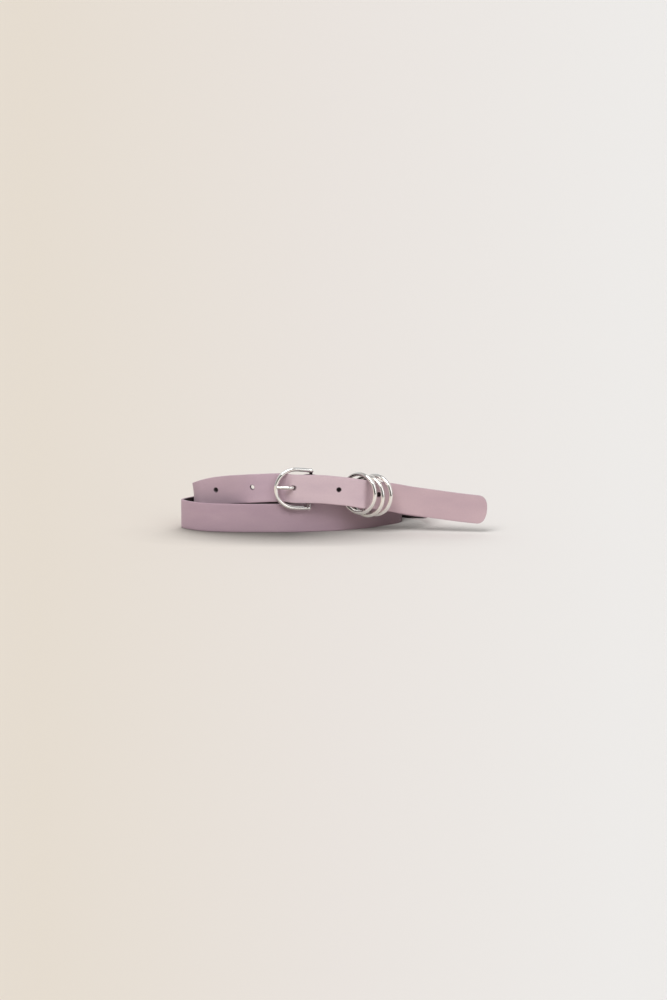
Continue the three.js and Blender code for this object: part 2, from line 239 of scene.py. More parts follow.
# The floor's contact shadow: its reach in metres, the openness that is mapped to its shade, the way that
# it looks, and how it weakens over X
SHADOW_REACH = 0.058
SHADOW_SAMPLES = 16
SHADOW_OPENNESS = (0.35, 0.96)
SHADOW_SHADE = (0.24, 1.0)
SHADOW_LOOK = (0, 0.75, 0.66)
SHADOW_FADE_PLACE = (-0.03, 0.06)
SHADOW_FADE = (1.0, 0.18)

# A bright room above, behind and at both sides, and dark towards the camera
WORLD_UP = 0.3
WORLD_BACK = 0.8
WORLD_SIDE = 0.4
WORLD_SIDE_START = 0.2
WORLD_TINT = (1.0, 0.995, 0.985, 1)
BLACK = (0, 0, 0, 1)

# Suns: azimuth from the camera's side towards +X, elevation and spread in degrees, and strength
SUNS = [
    ("key", -22, 52, 36, 1.67),
    ("side", 40, 28, 50, 0.56),
]

# Stations of the strap's middle: along as a share of COIL_LENGTH, back as a share of COIL_DEPTH and
# the height of the lower edge as a share of STRAP_WIDTH

# From the rounded tip, through the rings and over the buckle's bar, to the inner left bend
FRONT_RUN = [
    (0.4935, -0.057, 0.303),
    (0.4720, -0.05, 0.325),
    (0.3940, -0.029, 0.41),
    (0.3160, -0.007, 0.515),
    (0.2385, 0.009, 0.625),
    (0.1995, 0.014, 0.7),
    (0.1500, 0.013, 0.775),
    (0.1240, 0.007, 0.818),
    (0.1110, -0.012, 0.845),
    (0.1020, -0.048, 0.87),
    (0.0935, -0.078, 0.897),
    (0.0800, -0.088, 0.925),
    (0.0440, -0.091, 0.985),
    (0.0046, -0.092, 1.03),
    (-0.0340, -0.093, 1.07),
    (-0.0764, -0.094, 1.0875),
    (-0.1100, -0.094, 1.09),
    (-0.1260, -0.09, 1.09),
    (-0.1370, -0.078, 1.09),
    (-0.1480, -0.05, 1.09),
    (-0.1590, -0.024, 1.09),
    (-0.1720, -0.012, 1.09),
    (-0.1990, -0.009, 1.085),
    (-0.2300, -0.006, 1.07),
    (-0.2600, 0.004, 1.05),
    (-0.2760, 0.024, 1.03),
    (-0.2920, 0.056, 1),
    (-0.3150, 0.108, 0.958),
    (-0.3400, 0.162, 0.91),
    (-0.3650, 0.208, 0.855),
    (-0.3900, 0.244, 0.8),
    (-0.4180, 0.276, 0.715),
    (-0.4400, 0.303, 0.625),
]

# Round the inner left bend, along the back and down to the ground, to the inner right bend
INNER_BACK = [
    (-0.4556, 0.364, 0.52),
    (-0.4454, 0.436, 0.47),
    (-0.4167, 0.514, 0.4),
    (-0.3519, 0.63, 0.24),
    (-0.2315, 0.745, 0.06),
    (-0.0926, 0.825, 0),
    (0.0556, 0.845, 0),
    (0.1481, 0.825, 0),
    (0.1970, 0.743, 0),
    (0.2176, 0.629, 0),
]

# The lower front run, from the inner right bend to the outer left bend
LOWER_RUN = [
    (0.2120, 0.543, 0),
    (0.1995, 0.480, 0),
    (0.1606, 0.371, 0),
    (0.1218, 0.266, 0),
    (0.0829, 0.194, 0),
    (0.0440, 0.134, 0),
    (0.0180, 0.097, 0),
    (-0.0343, 0.057, 0),
    (-0.0731, 0.034, 0),
    (-0.1120, 0.011, 0),
    (-0.1759, 0, 0),
    (-0.2731, 0, 0),
    (-0.3380, 0.009, 0),
    (-0.3843, 0.029, 0),
    (-0.4259, 0.066, 0),
    (-0.4640, 0.140, 0),
    (-0.4861, 0.207, 0),
]

# Round the outer left bend, along the back and up the outer right bend to the back of the front run
OUTER_BACK = [
    (-0.4963, 0.274, 0),
    (-0.4880, 0.337, 0),
    (-0.4616, 0.437, 0),
    (-0.4167, 0.593, 0),
    (-0.3519, 0.743, 0),
    (-0.2315, 0.88, 0),
    (-0.0926, 0.965, 0),
    (0.0556, 1, 0),
    (0.1574, 0.936, 0),
    (0.2315, 0.814, 0),
    (0.2731, 0.7, 0.05),
    (0.2944, 0.571, 0.13),
    (0.2990, 0.443, 0.23),
    (0.2917, 0.321, 0.33),
    (0.2731, 0.214, 0.42),
    (0.2454, 0.129, 0.515),
    (0.2200, 0.077, 0.6),
]

PLY_PITCH = STRAP_THICK + PLY_GAP
MID_HEIGHT = STRAP_WIDTH / 2
HALF_THICK = STRAP_THICK / 2


# The strap's route


def stations(rows):
    return [Vector((a * COIL_LENGTH, b * COIL_DEPTH, c * STRAP_WIDTH)) for a, b, c in rows]


class Curve:
    """A centripetal Catmull-Rom curve through points."""

    def __init__(self, points):
        self.points = [Vector(p) for p in points]
        self.spans = len(self.points) - 1
        self.made = [self.span_terms(i) for i in range(self.spans)]

    def span_terms(self, i):
        """The cubic's four terms on the span from point i to the next."""
        p = self.points
        p1 = p[i]
        p2 = p[i + 1]
        p0 = p[i - 1] if i > 0 else p1 * 2 - p2
        p3 = p[i + 2] if i + 2 < len(p) else p2 * 2 - p1
        d0 = (p1 - p0).length_squared ** 0.25
        d1 = (p2 - p1).length_squared ** 0.25
        d2 = (p3 - p2).length_squared ** 0.25
        t1 = ((p1 - p0) / d0 - (p2 - p0) / (d0 + d1) + (p2 - p1) / d1) * d1
        t2 = ((p2 - p1) / d1 - (p3 - p1) / (d1 + d2) + (p3 - p2) / d2) * d1
        return p1, t1, (p2 - p1) * 3 - t1 * 2 - t2, (p1 - p2) * 2 + t1 + t2

    def at(self, t):
        """The point and tangent at t, from 0 to 1."""
        place = min(max(t, 0.0), 1.0) * self.spans
        i = min(int(place), self.spans - 1)
        w = place - i
        c0, c1, c2, c3 = self.made[i]
        point = c0 + c1 * w + c2 * w * w + c3 * w * w * w
        tangent = (c1 + c2 * 2 * w + c3 * 3 * w * w).normalized()
        return point, tangent

    def spaced(self, step):
        """Points, tangents and distances about step apart along the curve."""
        ts = np.linspace(0, 1, SPAN_SAMPLES * self.spans + 1)
        points = [self.at(t)[0] for t in ts]
        gone = [0.0]
        for a, b in zip(points, points[1:]):
            gone.append(gone[-1] + (b - a).length)
        count = max(2, round(gone[-1] / step))
        wanted = np.linspace(0, gone[-1], count + 1)
        picked = np.interp(wanted, gone, ts)
        return [(*self.at(t), d) for t, d in zip(picked, wanted)]


front_samples = Curve(stations(FRONT_RUN)).spaced(FRONT_SAMPLE_STEP)


def front_at(along):
    """The point of the front run at a place along the belt."""
    return min(front_samples, key=lambda s: abs(s[0].x - along))[0]


def front_backward(along, reach=1.0):
    """The level direction square to the front run, towards the back."""
    run = front_at(along - reach) - front_at(along + reach)
    return Vector((run.y, -run.x, 0)).normalized()


# The bar that the strap is folded round, and the tongue's eyelet on it
bar_along = BUCKLE_ALONG + BAR_OFFSET
fold_radius = BAR_DIAMETER / 2 + FOLD_GAP + HALF_THICK
bar_front = front_at(bar_along)
bar = Vector((
    bar_along,
    bar_front.y + PLY_PITCH + fold_radius,
    bar_front.z + MID_HEIGHT - BUCKLE_DROP,
))
tongue_high = bar_front.z + MID_HEIGHT + HOLE_RISE
tongue_hole_along = BUCKLE_ALONG - TONGUE_HOLE_OFFSET
tongue_hole_distance = max(d for p, _, d in front_samples if p.x >= tongue_hole_along)
eyelet = Vector((bar.x + (tongue_high - bar.z) * math.tan(BUCKLE_ROLL), bar.y, tongue_high))


def back_ply():
    """The buckle end, one ply behind the front run."""
    rows = [p for p in stations(FRONT_RUN)
            if bar_along + fold_radius * 2 < p.x <= BACK_PLY_START * COIL_LENGTH]
    return [p + front_backward(p.x) * PLY_PITCH - UP * PLY_DROP for p in rows]


def fold_and_flap():
    """Round the bar from its front to its back, and the short flap, two plies behind the front run."""
    points = []
    for i in range(FOLD_STEPS + 1):
        angle = math.pi * i / FOLD_STEPS
        points.append(Vector((
            bar.x - math.sin(angle) * fold_radius,
            bar.y - math.cos(angle) * fold_radius,
            bar_front.z - PLY_DROP * (1 + i / FOLD_STEPS),
        )))
    for share in FLAP_SHARES:
        along = bar_along + FLAP_LENGTH * share
        points.append(front_at(along) + front_backward(along) * PLY_PITCH * 2 - UP * PLY_DROP * 2)
    return points


strap_curve = Curve(stations(FRONT_RUN) + stations(INNER_BACK) + stations(LOWER_RUN)
                    + stations(OUTER_BACK) + back_ply() + fold_and_flap())


# The buckle's own plane: the round side lies in front of the strap and the bar behind it
buckle_radius = (BUCKLE_OUTER - BUCKLE_WIRE) / 2
belly_along = BUCKLE_ALONG - buckle_radius
seat_along = BUCKLE_ALONG - (math.sqrt(buckle_radius ** 2 - MID_HEIGHT ** 2) - BUCKLE_WIRE / 2)
seat_back = front_at(seat_along).y - HALF_THICK - FIT_GAP - BUCKLE_WIRE / 2
buckle_lean = math.atan2(bar.y - seat_back, bar_along - seat_along)
belly_back = bar.y - math.tan(buckle_lean) * (bar_along - belly_along)
buckle_normal = Vector((-math.sin(buckle_lean), math.cos(buckle_lean), 0))
bar_direction = Vector((
    math.sin(BUCKLE_ROLL) * math.cos(buckle_lean),
    math.sin(BUCKLE_ROLL) * math.sin(buckle_lean),
    math.cos(BUCKLE_ROLL),
))


def buckle_point(right, high):
    """A point from its place in the buckle's plane, measured from the centre of the round side."""
    from_bar = right - BAR_OFFSET
    level = from_bar * math.cos(BUCKLE_ROLL) + high * math.sin(BUCKLE_ROLL)
    upright = high * math.cos(BUCKLE_ROLL) - from_bar * math.sin(BUCKLE_ROLL)
    return Vector((
        bar.x + level * math.cos(buckle_lean),
        bar.y + level * math.sin(buckle_lean),
        bar.z + upright,
    ))


def arm_high(right):
    """How far from the middle an arm runs, which narrows gently towards the bar."""
    return buckle_radius * math.sqrt(1 - (right / BUCKLE_ARM_REACH) ** 2)


# Mesh helpers


def working_centre():
    """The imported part's origin in the stations' frame, from the first ring, whose middle is known in both."""
    low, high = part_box("ring_1")
    middle = (low + high) / 2 / MM
    return RING_START - middle.x, RING_BACK - middle.y


centre_along, centre_back = working_centre()


def to_frame(point):
    """A point of the stations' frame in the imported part's frame, in metres."""
    return ((point[0] - centre_along) * MM, (point[1] - centre_back) * MM, point[2] * MM)


def mesh_object(name, points, faces):
    """A new object from points of the stations' frame, with its faces pointing out."""
    mesh = bpy.data.meshes.new(name)
    mesh.from_pydata([to_frame(p) for p in points], [], faces)
    mesh.validate()
    made = bmesh.new()
    made.from_mesh(mesh)
    bmesh.ops.remove_doubles(made, verts=made.verts, dist=MERGE_METRES)
    bmesh.ops.recalc_face_normals(made, faces=made.faces)
    made.to_mesh(mesh)
    made.free()
    obj = bpy.data.objects.new(name, mesh)
    bpy.context.scene.collection.objects.link(obj)
    return obj


def loft(name, sections, closed=False):
    """A closed mesh through sections with equally many corners."""
    sides = len(sections[0])
    points = [p for ring in sections for p in ring]
    faces = []
    count = len(sections)
    for ring in range(count if closed else count - 1):
        here = ring * sides
        there = (ring + 1) % count * sides
        for side in range(sides):
            other = (side + 1) % sides
            faces.append((here + side, here + other, there + other, there + side))
    if not closed:
        faces.append(tuple(range(sides))[::-1])
        last = (count - 1) * sides
        faces.append(tuple(last + i for i in range(sides)))
    return mesh_object(name, points, faces)


def boolean(obj, tool, operation):
    """Joins or cuts with a tool, which is removed."""
    modifier = obj.modifiers.new("cut", "BOOLEAN")
    modifier.operation = operation
    modifier.solver = "EXACT"
    modifier.object = tool
    bpy.context.view_layer.objects.active = obj
    with bpy.context.temp_override(active_object=obj, object=obj, selected_objects=[obj]):
        bpy.ops.object.modifier_apply(modifier=modifier.name)
    bpy.data.objects.remove(tool)


def circle(centre, first, second, radius, sides):
    """Points round a circle, from first towards second."""
    angles = [2 * math.pi * k / sides for k in range(sides)]
    return [centre + first * math.cos(a) * radius + second * math.sin(a) * radius for a in angles]


def cylinder(name, centre, axis, radius, length):
    turn = UP.rotation_difference(axis)
    first = turn @ RIGHT
    second = turn @ BACKWARD
    ends = [centre + axis * length * share for share in (-0.5, 0.5)]
    return loft(name, [circle(end, first, second, radius, CYLINDER_SIDES) for end in ends])


def sphere(name, centre, radius):
    sections = []
    for j in range(1, SPHERE_STEPS):
        angle = math.pi * j / SPHERE_STEPS
        middle = centre + UP * math.cos(angle) * radius
        sections.append(circle(middle, RIGHT, BACKWARD, math.sin(angle) * radius, SPHERE_SIDES))
    return loft(name, sections)


def planar_tube(name, points, radius_at, normal, closed=False):
    """A round bar along points that lie in one plane with that normal."""
    sections = []
    count = len(points)
    for i, point in enumerate(points):
        if closed:
            tangent = (points[(i + 1) % count] - points[i - 1]).normalized()
        else:
            tangent = (points[min(i + 1, count - 1)] - points[max(i - 1, 0)]).normalized()
        outward = tangent.cross(normal).normalized()
        sections.append(circle(point, outward, normal, radius_at(i / count), WIRE_SIDES))
    return loft(name, sections, closed)


def box(name, low, high):
    corners = [Vector((x, y, z)) for z in (low.z, high.z) for y in (low.y, high.y) for x in (low.x, high.x)]
    faces = [(0, 1, 3, 2), (4, 6, 7, 5), (0, 4, 5, 1), (2, 3, 7, 6), (0, 2, 6, 4), (1, 5, 7, 3)]
    return mesh_object(name, corners, faces)


# The strap


def half_width_at(distance):
    """Half the strap's width at a distance from the tip, whose corners are rounded."""
    inside = max(0.0, 1 - distance / TIP_ROUND)
    return MID_HEIGHT * (1 - inside ** TIP_POWER) ** (1 / TIP_POWER)


def section(half_width):
    """The strap's outline as (across, high), going round once, with rounded edges."""
    t = HALF_THICK
    r = min(EDGE_ROUND, half_width / 2)
    steps = round((STRAP_WIDTH - 2 * EDGE_ROUND) / ACROSS_STEP)
    highs = [float(h) for h in np.linspace(-(half_width - r), half_width - r, steps + 1)]

    def corner(across, high, first_angle, start, stop):
        for k in range(start, stop):
            a = math.radians(first_angle - 90 * k / EDGE_STEPS)
            yield across + r * math.cos(a), high + r * math.sin(a)

    outline = [(-t, h) for h in highs]
    outline += corner(-t + r, half_width - r, 180, 1, EDGE_STEPS + 1)
    outline += corner(t - r, half_width - r, 90, 0, EDGE_STEPS)
    outline += [(t, h) for h in reversed(highs)]
    outline += corner(t - r, -half_width + r, 0, 1, EDGE_STEPS + 1)
    outline += corner(-t + r, -half_width + r, -90, 0, EDGE_STEPS)
    return outline


def build_strap():
    """The strap before its cuts, and each section's middle, up, side and distance from the tip."""
    samples = strap_curve.spaced(SECTION_STEP)
    first, first_tangent, _ = samples[0]
    rows = []
    for k in range(1, TIP_STEPS):
        distance = (k / TIP_STEPS) ** 2 * TIP_ROUND
        rows.append((first + first_tangent * distance, first_tangent, distance, half_width_at(distance)))
    for point, tangent, distance in samples:
        if distance > TIP_ROUND * TIP_OVERLAP:
            rows.append((point, tangent, distance, MID_HEIGHT))
    places = []
    sections = []
    for point, tangent, distance, half_width in rows:
        up = (UP - tangent * UP.dot(tangent)).normalized()
        side = tangent.cross(up).normalized()
        middle = Vector((point.x, point.y, max(0, point.z) + MID_HEIGHT))
        places.append((middle, up, side, distance))
        sections.append([middle + side * a + up * h for a, h in section(half_width)])
    return loft("strap_leather", sections), places


def hole_place(distance):
    """The strap's middle and its level direction to the back, at a distance from the tongue's hole."""
    wanted = tongue_hole_distance + distance
    point, tangent, _ = min(front_samples, key=lambda s: abs(s[2] - wanted))
    backward = Vector((-tangent.y, tangent.x, 0)).normalized()
    return point + UP * (MID_HEIGHT + HOLE_RISE), backward


def slot_box():
    """The slot in the fold that the tongue's eyelet stands in, which leaves the front run whole."""
    high = TONGUE_WIRE + 2 * TONGUE_CLEARANCE
    past_fold = fold_radius + SLOT_OVERRUN
    low = Vector((bar.x - past_fold, bar_front.y + HALF_THICK + PLY_GAP / 2, tongue_high - high / 2))
    top = Vector((bar.x + BAR_DIAMETER / 2 + FIT_GAP + EYELET_WALL + TONGUE_CLEARANCE,
                  bar.y + past_fold, tongue_high + high / 2))
    return box("slot", low, top)


def from_hole(point, middle, direction):
    """The distance in millimetres to a hole's axis, which reaches four strap thicknesses each way, so that the
    plies behind a hole take its dark as painted shade.
    """
    offset = (point - middle) / MM
    run = offset.dot(direction)
    if abs(run) > HOLE_DARK_DEPTH:
        return math.inf
    return (offset - direction * run).length


def place_on_strap(point, nearby, places):
    """The distance from the tip and the places up and across of a point, in the section that fits it best."""
    best = (math.inf, 0, 0, 0)
    for _, i, _ in nearby.find_n(point, NEAREST_SECTIONS):
        middle, up, side, distance = places[i]
        from_middle = (point - Vector(to_frame(middle))) / MM
        across = from_middle.dot(side)
        high = from_middle.dot(up)
        run = (from_middle - side * across - up * high).length
        outside = max(0, abs(across) - HALF_THICK) + max(0, abs(high) - MID_HEIGHT)
        miss = outside * OUTSIDE_WEIGHT + run
        if miss < best[0]:
            best = (miss, distance, high, across)
    return best[1:]


def paint_strap(obj, places, holes):
    """Point attributes that the leather reads: place on the strap, edges, flesh side, and the holes' dark,
    which is their raw walls and painted shade on the plies seen through them.
    """
    nearby = KDTree(len(places))
    for i, (middle, _, _, _) in enumerate(places):
        nearby.insert(to_frame(middle), i)
    nearby.balance()
    mesh = obj.data
    count = len(mesh.vertices)
    place = np.zeros((count, 3), np.float32)
    edge = np.zeros(count, np.float32)
    flesh = np.zeros(count, np.float32)
    holes_and_shade = np.zeros(count, np.float32)
    hole_lines = [(Vector(to_frame(middle)), backward) for middle, backward in holes]
    for v in mesh.vertices:
        distance, high, across = place_on_strap(v.co, nearby, places)
        place[v.index] = (distance * MM, high * MM, across * MM)
        edge[v.index] = max(0.0, 1 - (MID_HEIGHT - abs(high)) / EDGE_REACH)
        flesh[v.index] = min(1.0, max(0.0, (across / HALF_THICK - FLESH_START) / FLESH_SPREAD))
        near = min(from_hole(v.co, middle, backward) for middle, backward in hole_lines)
        holes_and_shade[v.index] = max(0.0, 1 - max(0.0, near - HOLE_DIAMETER / 2) / HOLE_DARK_REACH)
    for name, kind, field, values in (
        ("strap_place", "FLOAT_VECTOR", "vector", place.ravel()),
        ("strap_edge", "FLOAT", "value", edge),
        ("strap_flesh", "FLOAT", "value", flesh),
        ("strap_holes_and_shade", "FLOAT", "value", holes_and_shade),
    ):
        mesh.attributes.new(name, kind, "POINT").data.foreach_set(field, values)


def finished_strap():
    """The strap with its holes, the slot and the room for the tongue, and its point attributes."""
    strap, places = build_strap()
    numbers = list(range(1, HOLES_LEFT_OF_TONGUE + 1))
    numbers += [-i for i in range(1, HOLES_RIGHT_OF_TONGUE + 1)]
    holes = [hole_place(number * HOLE_PITCH) for number in numbers]
    for middle, backward in holes:
        boolean(strap, cylinder("punch", middle, backward, HOLE_DIAMETER / 2, STRAP_THICK * 2), "DIFFERENCE")
    boolean(strap, shank("tongue_room", TONGUE_CLEARANCE), "DIFFERENCE")
    boolean(strap, slot_box(), "DIFFERENCE")
    tongue_hole = Vector((tongue_hole_along, front_at(tongue_hole_along).y, tongue_high))
    paint_strap(strap, places, holes + [(tongue_hole, BACKWARD)])
    return strap


# The metal pieces


def build_frame():
    """The round wire with its two arms, the bar between their ends and the bar's end knobs, in one piece."""
    points = []
    for i in range(ARM_STEPS, 0, -1):
        right = BAR_OFFSET * i / ARM_STEPS
        points.append(buckle_point(right, arm_high(right)))
    for i in range(BUCKLE_STEPS + 1):
        angle = math.pi * i / BUCKLE_STEPS
        points.append(buckle_point(-math.sin(angle) * buckle_radius, math.cos(angle) * buckle_radius))
    for i in range(1, ARM_STEPS + 1):
        right = BAR_OFFSET * i / ARM_STEPS
        points.append(buckle_point(right, -arm_high(right)))
    obj = planar_tube("buckle_frame_metal", points, lambda share: BUCKLE_WIRE / 2, buckle_normal)
    reach = arm_high(BAR_OFFSET)
    boolean(obj, cylinder("rod", bar, bar_direction, BAR_DIAMETER / 2, reach * 2), "UNION")
    for end in (-1, 1):
        boolean(obj, sphere("knob", bar + bar_direction * end * reach, BAR_KNOB / 2), "UNION")
    return obj


def tongue_points():
    """From the eyelet forward through the strap's hole, then level to its rest on the frame's round side."""
    behind = front_at(BUCKLE_ALONG + TONGUE_BEHIND).y + HALF_THICK + FIT_GAP + TONGUE_WIRE / 2
    ahead = front_at(BUCKLE_ALONG - TONGUE_AHEAD).y - HALF_THICK - FIT_GAP - TONGUE_WIRE / 2
    belly = belly_back - BUCKLE_WIRE / 2 - FIT_GAP - TONGUE_TIP_WIRE / 2
    return [Vector((along, back, tongue_high)) for along, back in (
        (eyelet.x - BAR_DIAMETER / 2 - FIT_GAP - EYELET_WALL / 2, bar.y),
        (BUCKLE_ALONG + TONGUE_BEND, bar.y + (behind - bar.y) * TONGUE_BEND_SHARE),
        (BUCKLE_ALONG + TONGUE_BEHIND, behind),
        (BUCKLE_ALONG - TONGUE_AHEAD, min(ahead, belly)),
        (BUCKLE_ALONG - TONGUE_LEVEL, belly),
        (belly_along + TONGUE_REST, belly),
        (belly_along + TONGUE_END, belly),
    )]


def shank(name, extra):
    """The tongue's round bar, or with something extra the room for it."""
    curve = Curve(tongue_points())
    r = TONGUE_WIRE / 2 + extra
    tip = TONGUE_TIP_WIRE / 2 + extra
    radii = [EYELET_WALL, r, r, r, r, tip, tip * TONGUE_END_SHARE]
    rings = []
    steps = SHANK_STEPS * curve.spans
    for i in range(steps + 1):
        t = i / steps
        point, tangent = curve.at(t)
        place = t * curve.spans
        low = min(int(place), curve.spans - 1)
        radius = radii[low] + (radii[low + 1] - radii[low]) * (place - low)
        side = tangent.cross(UP).normalized()
        rings.append(circle(point, side, side.cross(tangent), radius, WIRE_SIDES))
    return loft(name, rings)


def build_tongue():
    """The tongue with its eyelet, bored to turn on the bar."""
    obj = shank("buckle_tongue_metal", 0)
    bore = BAR_DIAMETER / 2 + FIT_GAP
    boolean(obj, cylinder("eyelet", eyelet, UP, bore + EYELET_WALL, TONGUE_WIRE), "UNION")
    boolean(obj, cylinder("bore", bar, bar_direction, bore, STRAP_WIDTH), "DIFFERENCE")
    return obj


def crossing_along(along, back):
    """Where a leaning ring's own plane crosses the two plies that it holds."""
    best = along
    least = math.inf
    for shift in np.arange(-RING_REACH, RING_REACH + RING_REACH_STEP / 2, RING_REACH_STEP):
        x = along + shift * math.cos(RING_LEAN)
        y = back - shift * math.sin(RING_LEAN)
        miss = abs(front_at(x).y + PLY_PITCH / 2 - y)
        if miss < least:
            least = miss
            best = x
    return best


def build_ring(number):
    """A ring hung on the strap's upper edge, with its wire a trace thinner at the seam."""
    radius = (RING_OUTER - RING_WIRE) / 2
    along = RING_START + number * RING_PITCH
    back = RING_BACK + number * RING_BACK_STEP
    crossing = crossing_along(along, back)
    offset = (crossing - along) / math.cos(RING_LEAN)
    chord = math.sqrt((radius - RING_WIRE / 2) ** 2 - (abs(offset) + PLY_PITCH) ** 2)
    high = front_at(crossing).z + STRAP_WIDTH + RING_SEAT + number * RING_RISE - chord
    turn = Matrix.Rotation(RING_ROLL, 3, "Y") @ Matrix.Rotation(-RING_LEAN, 3, "Z")
    points = circle(Vector((along, back, high)), turn @ RIGHT, turn @ UP, radius, RING_STEPS)
    seam = SEAM_PLACE + SEAM_SHIFT * number

    def wire(share):
        from_seam = (share - seam) * RING_STEPS
        return RING_WIRE / 2 * (1 - SEAM_DEPTH * math.exp(-from_seam ** 2))

    return planar_tube(f"ring_{number + 1}_metal", points, wire, turn @ BACKWARD, closed=True)


# Materials


def linear(rgb):
    """A screen colour of 0 to 255 as linear light."""
    def one(v):
        v /= 255
        return v / 12.92 if v <= 0.04045 else ((v + 0.055) / 1.055) ** 2.4
    return (*map(one, rgb), 1)


class Tree:
    """A node tree with short calls for the nodes that are used here."""

    def __init__(self, owner):
        owner.use_nodes = True
        self.nodes = owner.node_tree.nodes
        self.links = owner.node_tree.links

    def node(self, kind, **settings):
        node = self.nodes.new("ShaderNode" + kind)
        for name, value in settings.items():
            setattr(node, name, value)
        return node

    def put(self, socket, value):
        """Links a socket to another, or sets its own value."""
        if isinstance(value, bpy.types.NodeSocket):
            self.links.new(value, socket)
        else:
            socket.default_value = value

    def maths(self, operation, *values):
        node = self.node("Math", operation=operation)
        for socket, value in zip(node.inputs, values):
            self.put(socket, value)
        return node.outputs[0]

    def parts(self, vector):
        node = self.node("SeparateXYZ")
        self.put(node.inputs[0], vector)
        return node.outputs

    def stretched(self, vector, scale):
        node = self.node("Mapping")
        node.inputs["Scale"].default_value = scale
        self.put(node.inputs["Vector"], vector)
        return node.outputs["Vector"]

    def attribute(self, name, output="Fac"):
        return self.node("Attribute", attribute_name=name).outputs[output]

    def noise(self, vector, scale, detail, rough=0.5):
        node = self.node("TexNoise")
        node.inputs["Scale"].default_value = scale
        node.inputs["Detail"].default_value = detail
        node.inputs["Roughness"].default_value = rough
        self.put(node.inputs["Vector"], vector)
        return node.outputs["Fac"]

    def ramp(self, source, band, result=(0, 1), **settings):
        """Maps a band of values to the range of the result, and clamps what lies past it."""
        node = self.node("MapRange", clamp=True, **settings)
        node.inputs["From Min"].default_value = band[0]
        node.inputs["From Max"].default_value = band[1]
        node.inputs["To Min"].default_value = result[0]
        node.inputs["To Max"].default_value = result[1]
        self.put(node.inputs["Value"], source)
        return node.outputs["Result"]

    def mix(self, factor, first, second, **settings):
        """Mixes two colours, whose sockets are the node's inputs 6 and 7 and its output 2."""
        node = self.node("Mix", data_type="RGBA", **settings)
        self.put(node.inputs[0], factor)
        self.put(node.inputs[6], first)
        self.put(node.inputs[7], second)
        return node.outputs[2]

    def tones(self, source, stops, interpolation="LINEAR"):
        """A colour ramp with a stop for each (place, screen colour), the first and last at its ends."""
        node = self.node("ValToRGB")
        node.color_ramp.interpolation = interpolation
        elements = node.color_ramp.elements
        for element, (place, rgb) in zip(list(elements), (stops[0], stops[-1])):
            element.position = place
            element.color = linear(rgb)
        for place, rgb in stops[1:-1]:
            elements.new(place).color = linear(rgb)
        self.put(node.inputs[0], source)
        return node.outputs["Color"]

    def bump(self, height, strength, depth):
        node = self.node("Bump")
        node.inputs["Strength"].default_value = strength
        node.inputs["Distance"].default_value = depth
        self.put(node.inputs["Height"], height)
        return node.outputs["Normal"]


def new_material(name, **values):
    """A material, its tree and its shader's inputs, with values for the inputs that are even all over."""
    material = bpy.data.materials.new(name)
    tree = Tree(material)
    inputs = tree.nodes["Principled BSDF"].inputs
    for socket, value in values.items():
        inputs[socket.replace("_", " ")].default_value = value
    return material, tree, inputs


def leather_material():
    material, tree, shader = new_material(
        "lilac_leather", Specular_IOR_Level=LEATHER_SPECULAR,
        Sheen_Weight=LEATHER_SHEEN, Sheen_Roughness=LEATHER_SHEEN_ROUGH)
    place = tree.attribute("strap_place", "Vector")
    cloud = tree.noise(tree.stretched(place, MOTTLE_STRETCH), MOTTLE_SCALE, detail=3)
    fibre = tree.noise(place, FIBRE_SCALE, detail=4, rough=0.6)
    nap = tree.noise(place, SUEDE_SCALE, detail=5, rough=0.65)

    # The tones along the strap are the lilac with painted light and shade laid into it
    along = tree.ramp(tree.parts(place)["X"], (0, LEATHER_END))
    stops = [(distance / LEATHER_END, rgb) for distance, rgb in LEATHER_TONES_AND_PAINTED_LIGHT]
    mottle = tree.mix(tree.ramp(cloud, MIDDLE_BAND), MOTTLE_DEEP, MOTTLE_PALE)
    body = tree.mix(1.0, tree.tones(along, stops, "EASE"), mottle, blend_type="MULTIPLY")
    fine = tree.mix(tree.ramp(fibre, WIDE_BAND, PORE_SHOW), body, linear(LEATHER_PORE))
    edge = tree.ramp(tree.attribute("strap_edge"), EDGE_BAND, EDGE_SHOW)
    worn = tree.mix(edge, fine, linear(LEATHER_EDGE))
    suede = tree.mix(tree.ramp(nap, WIDE_BAND), linear(FLESH_DARK), linear(FLESH_PALE))
    sides = tree.mix(tree.attribute("strap_flesh"), worn, suede)
    # The holes' dark: raw hole walls, and painted shade on the plies seen through the holes
    holes_and_shade = tree.ramp(tree.attribute("strap_holes_and_shade"), HOLE_DARK_BAND, HOLE_DARK_SHOW)
    tree.put(shader["Base Color"], tree.mix(holes_and_shade, sides, linear(HOLE_WALL_AND_SHADE)))

    tree.put(shader["Roughness"], tree.ramp(cloud, WIDE_BAND, LEATHER_ROUGH))
    cells = tree.node("TexVoronoi", feature="SMOOTH_F1")
    cells.inputs["Scale"].default_value = GRAIN_SCALE
    tree.put(cells.inputs["Vector"], place)
    grain = tree.maths("MULTIPLY_ADD", cells.outputs["Distance"], GRAIN_SHARE, fibre)
    tree.put(shader["Normal"], tree.bump(grain, GRAIN_STRENGTH, GRAIN_DEPTH))
    return material


def metal_material():
    material, tree, shader = new_material("polished_steel", Metallic=1.0)
    coords = tree.node("TexCoord").outputs["Object"]
    cloud = tree.noise(coords, CAST_SCALE, detail=3)
    brush = tree.noise(tree.stretched(coords, BRUSH_STRETCH), BRUSH_SCALE, detail=4, rough=0.7)
    tone = tree.mix(tree.ramp(cloud, MIDDLE_BAND), linear(METAL_WARM), linear(METAL_COOL))
    tree.put(shader["Base Color"], tone)
    tree.put(shader["Roughness"], tree.ramp(brush, BRUSH_BAND, METAL_ROUGH))
    tree.put(shader["Normal"], tree.bump(brush, BRUSH_STRENGTH, BRUSH_DEPTH))
    return material


